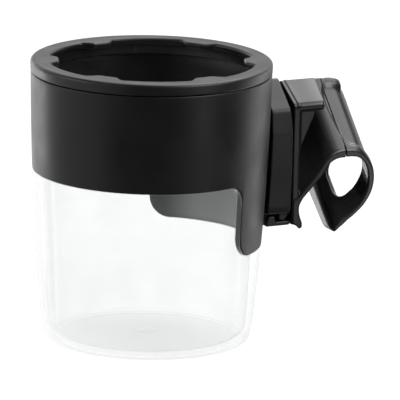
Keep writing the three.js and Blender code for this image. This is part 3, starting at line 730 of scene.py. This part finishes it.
# ------------------------------------------------------------------ screws
HEAD_RADIUS, HEAD_HEIGHT = 2.1, 0.97
SHANK_RADIUS, SHANK_END = 1.08, 7.4
THREAD_DEPTH, THREAD_PITCH = 0.11, 0.85
BLOCK_SCREW_INSETS = (0.75, 0.3, 0.95)  # taken in turn from the wall's x
BOX_BEHIND, BOX_AHEAD, BOX_HALF = 0.4, 8.0, 2.5


def screw_field(x0, y0, z0, way, turn):
    """Domed head with a cross recess, pointing along way * X and turned about its axis."""
    cos, sin = math.cos(turn), math.sin(turn)

    def screw(x, y, z):
        h = (x - x0) * way
        across, up = y - y0, z - z0
        a, b = across * cos + up * sin, up * cos - across * sin
        q = np.sqrt(a * a + b * b)
        dome = np.sqrt(q * q + (h - 5.3) ** 2) - 5.35
        head = meet(meet(q - HEAD_RADIUS, h - HEAD_HEIGHT, 0.2), dome, 0.15)
        head = meet(head, -h, 0.1)
        arm = 0.34 - 0.22 * np.clip(h, 0, 1)
        cross = np.minimum(
            np.maximum(np.abs(a) - arm, np.abs(b) - 1.25 + h),
            np.maximum(np.abs(b) - arm, np.abs(a) - 1.25 + h),
        )
        head = cut(head, np.maximum(cross, h - 0.65), 0.06)
        thread = THREAD_DEPTH * np.cos(2 * math.pi * h / THREAD_PITCH - np.arctan2(b, a))
        shank = np.maximum(np.maximum(q - SHANK_RADIUS - thread, h - SHANK_END), 0.5 - h)
        shank = meet(shank, (q - 1.1) * 0.75 + (h - 6.5) * 0.6, 0.2)
        return join(head, shank, 0.15)

    return screw


def make_screw(name, place, way, turn, x_low, x_high):
    _, y, z = place
    low = (x_low, y - BOX_HALF, z - BOX_HALF)
    high = (x_high, y + BOX_HALF, z + BOX_HALF)
    return mesh_object(name, *surface(screw_field(*place, way, turn), low, high, SCREW_CELL))


# ------------------------------------------------------------------ shader graphs
class Graph:
    """Node tree of a material or world. Sockets given as inputs are linked, values are set."""

    def __init__(self, owner, output_kind):
        owner.use_nodes = True
        self.tree = owner.node_tree
        self.tree.nodes.clear()
        self.output = self.tree.nodes.new(output_kind)

    def node(self, kind, inputs=None, **settings):
        node = self.tree.nodes.new("ShaderNode" + kind)
        for key, value in settings.items():
            setattr(node, key, value)
        for key, value in (inputs or {}).items():
            if isinstance(value, bpy.types.NodeSocket):
                self.tree.links.new(value, node.inputs[key])
            else:
                node.inputs[key].default_value = value
        return node

    def add(self, kind, inputs=None, output=0, **settings):
        """Like node, but gives one of the node's outputs."""
        return self.node(kind, inputs, **settings).outputs[output]

    def finish(self, shader):
        self.tree.links.new(shader, self.output.inputs[0])

    def math(self, operation, *values):
        return self.add("Math", dict(enumerate(values)), operation=operation)

    def ramp(self, source, start, end, low=0.0, high=1.0):
        limits = {"From Min": start, "From Max": end, "To Min": low, "To Max": high}
        inputs = {"Value": source, **limits}
        return self.add("MapRange", inputs, "Result", interpolation_type="SMOOTHSTEP")

    def noise(self, place, scale, detail, roughness=0.5):
        inputs = {"Vector": place, "Scale": scale, "Detail": detail, "Roughness": roughness}
        return self.add("TexNoise", inputs, "Fac")

    def mix_colour(self, factor, first, second):
        inputs = {"Factor": factor, "A": first, "B": second}
        return self.add("Mix", inputs, "Result", data_type="RGBA")

    def bump(self, height, strength, distance, **normal):
        inputs = {"Height": height, "Strength": strength, "Distance": distance, **normal}
        return self.add("Bump", inputs)

    def mix_shader(self, factor, first, second):
        return self.add("MixShader", {0: factor, 1: first, 2: second})

    def seen(self):
        """1 for rays from the camera or through glass, else 0."""
        path = self.node("LightPath").outputs
        return self.math("MAXIMUM", path["Is Camera Ray"], path["Is Transmission Ray"])


def new_material(name):
    """Material, its graph and the object coordinates."""
    material = bpy.data.materials.new(name)
    graph = Graph(material, "ShaderNodeOutputMaterial")
    return material, graph, graph.add("TexCoord", output="Object")


# ------------------------------------------------------------------ surface finishes
def moulded(name, colour, *, rough, vary, grain, bump, edge_wear, specular=0.5, flow=0.0,
            polish=None):
    """Moulded plastic or rubber: fine grain, patchy gloss, scuffs and paler worn edges.

    vary spreads the roughness, flow adds slow ripples, and polish is the specular level on
    the cup's side and at the hook.
    """
    material, graph, place = new_material(name)
    fine = graph.noise(place, scale=grain, detail=3.0, roughness=0.6)
    broad = graph.noise(place, scale=55.0, detail=4.0, roughness=0.55)
    stretched = graph.add(
        "Mapping", {"Vector": place, "Scale": (1.0, 1.0, 0.12), "Rotation": (0.5, 0.35, 0.2)}
    )
    scuff = graph.noise(stretched, scale=900.0, detail=2.0)
    scuffs = graph.ramp(scuff, start=0.66, end=0.74)
    pointiness = graph.add("NewGeometry", output="Pointiness")
    edges = graph.ramp(pointiness, start=0.53, end=0.62)
    if polish:
        x = graph.add("SeparateXYZ", {0: place}, "X")
        specular = graph.ramp(x, start=0.062, end=0.074, low=polish[0], high=polish[1])
    plain = graph.mix_colour(
        graph.ramp(broad, start=0.35, end=0.65),
        first=(*[c * 0.85 for c in colour], 1),
        second=(*[c * 1.18 for c in colour], 1),
    )
    wear = graph.math("MULTIPLY", edges, edge_wear)
    patches = graph.ramp(broad, start=0.3, end=0.7, low=rough - vary, high=rough + vary)
    scuff_roughness = 0.08
    normal = graph.bump(fine, strength=bump, distance=0.00008)
    if flow:
        ripples = graph.noise(place, scale=130.0, detail=1.0)
        normal = graph.bump(ripples, strength=flow, distance=0.0004, Normal=normal)
    graph.finish(graph.add("BsdfPrincipled", {
        "Base Color": graph.mix_colour(wear, first=plain, second=(0.09, 0.09, 0.095, 1)),
        "Roughness": graph.math("MULTIPLY_ADD", scuffs, scuff_roughness, patches),
        "Specular IOR Level": specular,
        "Coat Weight": 0.0,
        "Coat Roughness": 0.25,
        "Normal": normal,
    }))
    return material


def clear_plastic(name):
    """Thin clear plastic: seen straight through, and shown by its gloss, more at a glance, with
    a faint painted reflection glow added to the gloss.
    """
    material, graph, place = new_material(name)
    broad = graph.noise(place, scale=70.0, detail=3.0)
    flow = graph.noise(place, scale=45.0, detail=1.0)
    normal = graph.bump(flow, strength=0.06, distance=0.0003)
    skin = graph.add("BsdfPrincipled", {
        "Base Color": (0.80, 0.82, 0.82, 1),
        "IOR": 1.5,
        "Specular IOR Level": 0.6,
        "Roughness": graph.ramp(broad, start=0.35, end=0.7, low=0.05, high=0.12),
        "Normal": normal,
    })
    # share of gloss and its painted reflection glow: a little everywhere, much more at a glance
    glance_power, glance_gloss, least_gloss = 4.0, 0.62, 0.035
    facing = graph.add("LayerWeight", {"Blend": 0.5, "Normal": normal}, "Facing")
    steep = graph.math("POWER", facing, glance_power)
    show = graph.math("MULTIPLY_ADD", steep, glance_gloss, least_gloss)
    # painted reflection: more gloss and glow over the collar's lobe, so the wall there shows
    # brighter; painted shade: faint higher up behind the collar
    axes = graph.node("SeparateXYZ", {0: place}).outputs
    # painted reflection over the lobe: adds to the gloss and glow share there
    lobe = graph.math(
        "MULTIPLY",
        graph.ramp(axes["X"], start=0.021, end=0.034, low=0.0, high=0.14),
        graph.ramp(axes["Z"], start=0.0365, end=0.0395),
    )
    amount = graph.math(
        "MULTIPLY",
        graph.math("ADD", show, lobe),
        # painted shade: gloss and glow fade out from 64 to 74 mm up, keeping the wall inside the
        # collar dark
        graph.ramp(axes["Z"], start=0.064, end=0.074, low=1.0, high=0.05),
    )
    tint = graph.mix_colour(
        graph.ramp(broad, start=0.35, end=0.65),
        first=(0.972, 0.977, 0.975, 1),
        second=(0.984, 0.986, 0.985, 1),
    )
    thin = graph.add("BsdfTransparent", {"Color": tint})
    shadow_ray = graph.add("LightPath", output="Is Shadow Ray")
    factor = graph.math("MULTIPLY", amount, graph.math("SUBTRACT", 1.0, shadow_ray))
    # painted reflection: a faint white glow added to the gloss, standing in for the bright room
    # that the surface mirrors
    painted_reflection_glow = graph.add("Emission", {"Color": (1, 1, 1, 1), "Strength": 0.2})
    gloss = graph.add("AddShader", {0: skin, 1: painted_reflection_glow})
    graph.finish(graph.mix_shader(factor, first=thin, second=gloss))
    return material


def plated(name):
    material, graph, place = new_material(name)
    mottle = graph.noise(place, scale=1500.0, detail=4.0)
    colour = graph.mix_colour(
        graph.ramp(mottle, start=0.35, end=0.65),
        first=(0.42, 0.42, 0.43, 1),
        second=(0.66, 0.66, 0.65, 1),
    )
    graph.finish(graph.add("BsdfPrincipled", {
        "Metallic": 1.0,
        "Base Color": colour,
        "Roughness": graph.ramp(mottle, start=0.3, end=0.7, low=0.24, high=0.42),
        "Normal": graph.bump(mottle, strength=0.15, distance=0.00005),
    }))
    return material


MATERIALS = {
    "clear_plastic": clear_plastic("clear_plastic_finish"),
    "collar_plastic": moulded(
        "collar_finish", (0.010, 0.010, 0.011), rough=0.40, vary=0.05,
        grain=2400, bump=0.12, edge_wear=0.16,
    ),
    "ring_rubber": moulded(
        "ring_finish", (0.014, 0.0145, 0.015), rough=0.38, vary=0.06,
        grain=3000, bump=0.12, edge_wear=0.24, specular=0.6,
    ),
    "block_plastic": moulded(
        "block_finish", (0.008, 0.008, 0.009), rough=0.40, vary=0.06,
        grain=2600, bump=0.14, edge_wear=0.096, specular=0.54,
    ),
    "clip_plastic": moulded(
        "clip_finish", (0.008, 0.008, 0.0085), rough=0.23, vary=0.05,
        grain=2200, bump=0.05, edge_wear=0.096, flow=0.06, polish=(0.42, 0.85),
    ),
    "pad_rubber": moulded(
        "pad_finish", (0.03, 0.03, 0.031), rough=0.72, vary=0.08,
        grain=3200, bump=0.4, edge_wear=0.4, specular=0.3,
    ),
    "steel": plated("screw_finish"),
}


# ------------------------------------------------------------------ assembly
def dress(obj, slot):
    obj.data.materials.clear()
    obj.data.materials.append(MATERIALS[slot])


def fit(obj, slot, body, node):
    """Dress obj, let it stand in for a frame node and move with a body."""
    dress(obj, slot)
    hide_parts(node)
    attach(obj, body)


fit(make_cup(), "clear_plastic", "cup", "clear_cup")
fit(make_collar(), "collar_plastic", "cup", "upper_collar")
fit(make_ring(), "ring_rubber", "ring", "grip_ring")

hollow_shape = hollow_field()
SHELLS = [  # (object, field, low and high corner of its box, cell), (slot, body, frame node)
    (("clip_shell", clip_field(hollow_shape), (54.2, -13.6, 37.5), (79.0, 12.4, 97.2), CELL),
     ("clip_plastic", "clip", "clip_body")),
    (("jaw_shell", jaw_field(hollow_shape), (70.8, -13.5, 35.5), (91.8, 12.5, 94.6), CELL),
     ("clip_plastic", "jaw", "hook_jaw")),
    (("block_shell", block_field(), (39.6, -14.8, 42.6), (55.3, 14.8, 98.4), CELL),
     ("block_plastic", "cup", "mount_block")),
    (("tongue_shell", tongue_field(), (43.8, -12.4, 40.6), (55.6, 12.4, 46.2), CELL * 0.85),
     ("block_plastic", "latch", "latch_tongue")),
]
for (name, *shape), fitting in SHELLS:
    fit(mesh_object(name, *surface(*shape)), *fitting)

for i, (tag, y, z) in enumerate(BLOCK_SCREWS):
    wall = np.interp(z, [height for height, _ in WALL], [radius for _, radius in WALL])
    x = math.sqrt(wall**2 - y * y)
    for inset in BLOCK_SCREW_INSETS:
        x -= inset
    screw = make_screw("screw_" + tag, (x, y, z), way=1, turn=0.5 + 0.7 * i,
                       x_low=x - BOX_BEHIND, x_high=x + BOX_AHEAD)
    fit(screw, "steel", "cup", "block_screw_" + tag)
for i, (tag, z) in enumerate(RAIL_SCREWS):
    screw = make_screw("rail_fixing_" + tag, (PLATE_FRONT, 0.0, z), way=-1, turn=0.3 + 0.9 * i,
                       x_low=49.8, x_high=58.4)
    fit(screw, "steel", "clip", "rail_screw_" + tag)

# Frame pieces kept as they are, with softened edges: (node, slot, bevel width in metres)
for node, slot, width in (
    ("slide_rail", "block_plastic", 0.00025),
    ("saddle_pad", "pad_rubber", 0.0002),
    ("crown_pad", "pad_rubber", 0.0002),
):
    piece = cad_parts[node]
    dress(piece, slot)
    bevel = piece.modifiers.new("soft edges", "BEVEL")
    bevel.width = width
    bevel.segments = 3
    bevel.limit_method = "ANGLE"
    bevel.angle_limit = math.radians(35)
    bevel.harden_normals = False

# ------------------------------------------------------------------ floor (metres from here on)
FLOOR_HALF, FLOOR_Z = 4, -0.00006


def make_floor():
    """White to the camera; reflections pass through it to the studio's lower half."""
    mesh = bpy.data.meshes.new("floor")
    signs = ((-1, -1), (1, -1), (1, 1), (-1, 1))
    corners = [(x * FLOOR_HALF, y * FLOOR_HALF, FLOOR_Z) for x, y in signs]
    mesh.from_pydata(corners, [], [(0, 1, 2, 3)])
    floor = link_object("floor", mesh)
    material, graph, place = new_material("floor_finish")
    mottle = graph.noise(place, scale=90.0, detail=3.0)
    tone = graph.ramp(mottle, start=0.3, end=0.7, low=0.31, high=0.33)
    paper = graph.add("BsdfDiffuse", {"Color": tone})
    glow = graph.add("Emission", {"Color": (1, 1, 1, 1), "Strength": 0.78})
    lit = graph.add("AddShader", {0: paper, 1: glow})
    graph.finish(graph.mix_shader(graph.seen(), graph.add("BsdfTransparent"), lit))
    mesh.materials.append(material)


make_floor()

# ------------------------------------------------------------------ studio light
# The view's own level axes: to its right, and away from the camera
VIEW_TURN = math.radians(26)
RIGHT = Vector((math.cos(VIEW_TURN), -math.sin(VIEW_TURN), 0))
AWAY = Vector((math.sin(VIEW_TURN), math.cos(VIEW_TURN), 0))

BASE_LIGHT = 0.105
# Soft round lamps: (right, away, up), cosine at the rim, cosine at full strength, strength
LAMPS = [
    ((0.42, 0.16, 0.86), 0.85, 0.955, 2.8),  # top
    ((0.24, 0.52, 0.82), 0.88, 0.975, 3.2),  # top, farther away
    ((0.70, -0.46, 0.53), 0.93, 0.985, 5.0),  # right, on the camera's side
    ((-0.90, -0.12, 0.38), 0.93, 0.985, 1.8),  # upper left
]
# Panels in degrees: bearing from and to (0 is at the camera, + to the right), elevation from
# and to, softness in bearing and elevation; then strength
PANELS = [
    (110, 139, -70, 12, 12, 8, 2.0),  # right
    (-168, -135, -70, 14, 10, 8, 1.6),  # left, behind
    (-135, -42, -60, 26, 6, 10, 0.5),  # left
    (-133, -123, -20, -6, 3, 4, 5.2),  # small and bright, left and low
    (43, 61, -24, -4, 5, 5, 1.2),  # small, right of the camera
]


def make_world():
    world = bpy.data.worlds.new("studio")
    bpy.context.scene.world = world
    graph = Graph(world, "ShaderNodeOutputWorld")
    direction = graph.add("TexCoord", output="Generated")

    def along(axis):
        inputs = {0: direction, 1: axis}
        return graph.add("VectorMath", inputs, "Value", operation="DOT_PRODUCT")

    right, away, up = along(RIGHT), along(AWAY), along((0, 0, 1))
    bearing = graph.math("ARCTAN2", right, graph.math("MULTIPLY", away, -1.0))
    elevation = graph.math("ARCSINE", up)

    def window(source, low, high, soft):
        """Rises about low and falls about high, in degrees."""
        low_side, high_side = (
            [math.radians(limit - soft), math.radians(limit + soft)] for limit in (low, high)
        )
        rising = graph.ramp(source, *low_side)
        falling = graph.ramp(source, *high_side, low=1.0, high=0.0)
        return rising, falling

    def panel(left, right_end, bottom, top, soft_bearing, soft_elevation, strength):
        sides = graph.math("MULTIPLY", *window(bearing, left, right_end, soft_bearing))
        ends = graph.math("MULTIPLY", *window(elevation, bottom, top, soft_elevation))
        return graph.math("MULTIPLY", graph.math("MULTIPLY", sides, ends), strength)

    def lamp(place, rim, full, strength):
        spot = (RIGHT * place[0] + AWAY * place[1] + Vector((0, 0, place[2]))).normalized()
        return graph.math("MULTIPLY", graph.ramp(along(spot), rim, full), strength)

    behind = graph.math(
        "MULTIPLY",
        graph.ramp(away, start=0.35, end=0.85),
        graph.ramp(up, start=-0.35, end=0.02, low=0.25, high=0.9),
    )
    base = graph.add("Value")
    base.default_value = BASE_LIGHT
    light = base
    for part in [*(lamp(*row) for row in LAMPS), behind, *(panel(*row) for row in PANELS)]:
        light = graph.math("ADD", light, part)
    room = graph.add("Background", {"Strength": light})
    white = graph.add("Background", {"Strength": 1.0})
    graph.finish(graph.mix_shader(graph.seen(), room, white))


make_world()

# ------------------------------------------------------------------ camera
DISTANCE, ELEVATION = 2.4, math.radians(13.303)
AIM_HEIGHT = 0.054
YAW, PITCH, ROLL = math.radians(0.464), math.radians(-0.004), math.radians(1.217)
SENSOR, LENS = 36, 565.929  # mm


def make_camera():
    """Worked out in view axes (right, away, up), then turned into the scene's."""
    place = Vector((
        0,
        -DISTANCE * math.cos(ELEVATION),
        AIM_HEIGHT + DISTANCE * math.sin(ELEVATION),
    ))
    forward = Vector((0, math.cos(ELEVATION), -math.sin(ELEVATION)))
    right = Vector((1, 0, 0))
    up = right.cross(forward)
    forward = (forward + math.tan(YAW) * right + math.tan(PITCH) * up).normalized()
    right = forward.cross(Vector((0, 0, 1))).normalized()
    up = right.cross(forward)
    rolled_right = math.cos(ROLL) * right + math.sin(ROLL) * up
    rolled_up = -math.sin(ROLL) * right + math.cos(ROLL) * up

    def to_scene(v):
        return RIGHT * v.x + AWAY * v.y + Vector((0, 0, v.z))

    data = bpy.data.cameras.new("camera")
    camera = link_object("camera", data)
    axes = [to_scene(v) for v in (rolled_right, rolled_up, -forward)]
    matrix = Matrix(axes).transposed().to_4x4()
    matrix.translation = to_scene(place)
    camera.matrix_world = matrix
    data.sensor_width = SENSOR
    data.lens = LENS
    data.clip_start = 0.1
    data.clip_end = 20
    bpy.context.scene.camera = camera


make_camera()
bpy.context.scene.view_settings.view_transform = "Standard"
bpy.context.scene.view_settings.look = "None"
